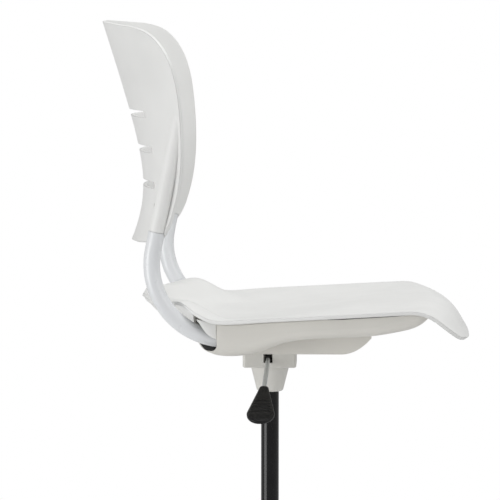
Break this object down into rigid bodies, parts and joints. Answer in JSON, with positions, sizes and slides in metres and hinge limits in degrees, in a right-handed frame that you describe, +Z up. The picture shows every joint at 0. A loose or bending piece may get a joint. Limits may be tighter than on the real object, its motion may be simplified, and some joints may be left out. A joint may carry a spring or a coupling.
{
  "type": "task stool",
  "caption": "Armless task stool with a moulded seat and wrapped slotted back on bent tubes, a gas lift with a lever, a foot ring and a caster base.",
  "frame": {"origin": "on the floor under the axis of the column", "axes": "+X to the sitter's front, +Y to the sitter's left, +Z up"},
  "size_m": [0.6254, 0.655, 1.2711],
  "materials": {
    "shell_grey": "satin, fine grain",
    "rail_grey": "satin, fine grain",
    "housing_grey": "satin, fine grain",
    "upright_silver": "gloss powder coat",
    "hub_grey": "satin paint on a casting",
    "column_black": "gloss black",
    "base_black": "fine grain",
    "wheel_black": "satin",
    "hood_black": "satin",
    "grip_black": "satin with ribs",
    "bright_steel": "turned",
    "zinc_steel": "zinc plated",
    "lever_steel": "drawn rod",
    "ring_chrome": "polished",
    "bush_plastic": "natural",
    "bush_black": "satin",
    "buffer_rubber": "matt"
  },
  "bodies": {
    "base": {"star_base": "base_black", "column_tube": "column_black", "column_plate": "zinc_steel", "thrust_bearing": "bright_steel", "guide_bush": "bush_black"},
    "swivel": {"piston_rod": "bright_steel", "rod_clip": "zinc_steel", "piston": "bright_steel"},
    "seat": {"gas_cylinder": "column_black", "rod_guide": "bush_plastic", "hub": "hub_grey", "hub_bolts": "zinc_steel", "mechanism_housing": "housing_grey", "rail_right": "rail_grey", "rail_left": "rail_grey", "rail_bolts": "zinc_steel", "seat_shell": "shell_grey", "seat_screws": "zinc_steel", "pivot_pins": "zinc_steel", "recline_buffers": "buffer_rubber", "lever_pin": "zinc_steel"},
    "valve": {"valve_pin": "bright_steel"},
    "lever": {"lever_rod": "lever_steel", "lever_paddle": "grip_black"},
    "back": {"upright_right": "upright_silver", "upright_left": "upright_silver", "back_shell": "shell_grey", "back_screws": "zinc_steel", "pivot_bushes": "bush_plastic"},
    "foot_ring": {"foot_ring": "ring_chrome", "foot_ring_spokes": "ring_chrome", "foot_ring_collar": "ring_chrome", "foot_ring_liner": "bush_black"},
    "knob": {"foot_ring_knob": "grip_black"},
    "caster_1": {"caster_1_hood": "hood_black", "caster_1_stem": "zinc_steel", "caster_1_axle": "zinc_steel"},
    "caster_1_wheel_left": {"caster_1_wheel_left": "wheel_black"},
    "caster_1_wheel_right": {"caster_1_wheel_right": "wheel_black"},
    "caster_2": {"caster_2_hood": "hood_black", "caster_2_stem": "zinc_steel", "caster_2_axle": "zinc_steel"},
    "caster_2_wheel_left": {"caster_2_wheel_left": "wheel_black"},
    "caster_2_wheel_right": {"caster_2_wheel_right": "wheel_black"},
    "caster_3": {"caster_3_hood": "hood_black", "caster_3_stem": "zinc_steel", "caster_3_axle": "zinc_steel"},
    "caster_3_wheel_left": {"caster_3_wheel_left": "wheel_black"},
    "caster_3_wheel_right": {"caster_3_wheel_right": "wheel_black"},
    "caster_4": {"caster_4_hood": "hood_black", "caster_4_stem": "zinc_steel", "caster_4_axle": "zinc_steel"},
    "caster_4_wheel_left": {"caster_4_wheel_left": "wheel_black"},
    "caster_4_wheel_right": {"caster_4_wheel_right": "wheel_black"},
    "caster_5": {"caster_5_hood": "hood_black", "caster_5_stem": "zinc_steel", "caster_5_axle": "zinc_steel"},
    "caster_5_wheel_left": {"caster_5_wheel_left": "wheel_black"},
    "caster_5_wheel_right": {"caster_5_wheel_right": "wheel_black"}
  },
  "joints": [
    {"name": "seat_turn", "type": "hinge", "parent": "base", "child": "swivel", "pos_m": [0, 0, 0.064], "axis": [0, 0, 1], "continuous": true},
    {"name": "seat_lift", "type": "slide", "parent": "swivel", "child": "seat", "axis": [0, 0, 1], "range_m": [-0.22, 0.03]},
    {"name": "back_recline", "type": "hinge", "parent": "seat", "child": "back", "pos_m": [-0.045, 0, 0.795], "axis": [0, -1, 0], "range_deg": [0, 8], "stiffness_Nm_per_rad": 40, "springref_deg": -11.46, "deforming": ["recline_buffers"]},
    {"name": "lever_lift", "type": "hinge", "parent": "seat", "child": "lever", "pos_m": [-0.00151, -0.02796, 0.74915], "axis": [-0.9985, 0.0541, 0], "range_deg": [0, 5], "stiffness_Nm_per_rad": 2, "springref_deg": -5.73},
    {"name": "valve_press", "type": "slide", "parent": "seat", "child": "valve", "axis": [0, 0, -1], "range_m": [0, 0.0028]},
    {"name": "foot_ring_slide", "type": "slide", "parent": "base", "child": "foot_ring", "axis": [0, 0, 1], "range_m": [-0.13, 0.08]},
    {"name": "knob_turn", "type": "hinge", "parent": "foot_ring", "child": "knob", "pos_m": [0.05, 0, 0.316], "axis": [1, 0, 0], "continuous": true},
    {"name": "caster_1_swivel", "type": "hinge", "parent": "base", "child": "caster_1", "pos_m": [0.29, 0, 0.06], "axis": [0, 0, 1], "continuous": true},
    {"name": "caster_1_roll_left", "type": "hinge", "parent": "caster_1", "child": "caster_1_wheel_left", "pos_m": [0.31, 0, 0.025], "axis": [0, 1, 0], "continuous": true},
    {"name": "caster_1_roll_right", "type": "hinge", "parent": "caster_1", "child": "caster_1_wheel_right", "pos_m": [0.31, 0, 0.025], "axis": [0, 1, 0], "continuous": true},
    {"name": "caster_2_swivel", "type": "hinge", "parent": "base", "child": "caster_2", "pos_m": [0.08962, 0.27581, 0.06], "axis": [0, 0, 1], "continuous": true},
    {"name": "caster_2_roll_left", "type": "hinge", "parent": "caster_2", "child": "caster_2_wheel_left", "pos_m": [0.0958, 0.29483, 0.025], "axis": [-0.9511, 0.309, 0], "continuous": true},
    {"name": "caster_2_roll_right", "type": "hinge", "parent": "caster_2", "child": "caster_2_wheel_right", "pos_m": [0.0958, 0.29483, 0.025], "axis": [-0.9511, 0.309, 0], "continuous": true},
    {"name": "caster_3_swivel", "type": "hinge", "parent": "base", "child": "caster_3", "pos_m": [-0.23461, 0.17046, 0.06], "axis": [0, 0, 1], "continuous": true},
    {"name": "caster_3_roll_left", "type": "hinge", "parent": "caster_3", "child": "caster_3_wheel_left", "pos_m": [-0.25079, 0.18221, 0.025], "axis": [-0.5878, -0.809, 0], "continuous": true},
    {"name": "caster_3_roll_right", "type": "hinge", "parent": "caster_3", "child": "caster_3_wheel_right", "pos_m": [-0.25079, 0.18221, 0.025], "axis": [-0.5878, -0.809, 0], "continuous": true},
    {"name": "caster_4_swivel", "type": "hinge", "parent": "base", "child": "caster_4", "pos_m": [-0.23461, -0.17046, 0.06], "axis": [0, 0, 1], "continuous": true},
    {"name": "caster_4_roll_left", "type": "hinge", "parent": "caster_4", "child": "caster_4_wheel_left", "pos_m": [-0.25079, -0.18221, 0.025], "axis": [0.5878, -0.809, 0], "continuous": true},
    {"name": "caster_4_roll_right", "type": "hinge", "parent": "caster_4", "child": "caster_4_wheel_right", "pos_m": [-0.25079, -0.18221, 0.025], "axis": [0.5878, -0.809, 0], "continuous": true},
    {"name": "caster_5_swivel", "type": "hinge", "parent": "base", "child": "caster_5", "pos_m": [0.08962, -0.27581, 0.06], "axis": [0, 0, 1], "continuous": true},
    {"name": "caster_5_roll_left", "type": "hinge", "parent": "caster_5", "child": "caster_5_wheel_left", "pos_m": [0.0958, -0.29483, 0.025], "axis": [0.9511, 0.309, 0], "continuous": true},
    {"name": "caster_5_roll_right", "type": "hinge", "parent": "caster_5", "child": "caster_5_wheel_right", "pos_m": [0.0958, -0.29483, 0.025], "axis": [0.9511, 0.309, 0], "continuous": true}
  ],
  "couplings": [
    {"joint": "valve_press", "follows": "lever_lift", "m_per_rad": 0.031}
  ]
}
